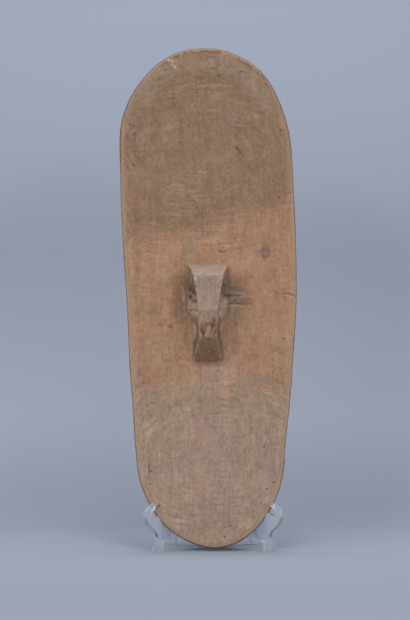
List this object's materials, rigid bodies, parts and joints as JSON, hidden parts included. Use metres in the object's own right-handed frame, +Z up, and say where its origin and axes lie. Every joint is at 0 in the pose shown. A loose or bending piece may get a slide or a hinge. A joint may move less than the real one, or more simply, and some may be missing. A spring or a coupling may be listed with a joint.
{
  "type": "dance shield on a clear stand",
  "caption": "Long rounded wooden dance shield seen from its grip side, leaning in a clear plastic display stand of two crossed panels.",
  "frame": {"origin": "on the floor, under the middle of the whole object's box", "axes": "+Z up; the grip side of the shield faces -Y and the shield leans back towards +Y; +X is to the right as the grip side is seen"},
  "size_m": [0.2098, 0.122, 0.5957],
  "materials": {
    "carved_wood": "dry, worn and handled",
    "clear_plastic": "clear and polished"
  },
  "bodies": {
    "root": {"shield": "carved_wood", "stand_panel_left": "clear_plastic", "stand_panel_right": "clear_plastic"}
  },
  "joints": []
}
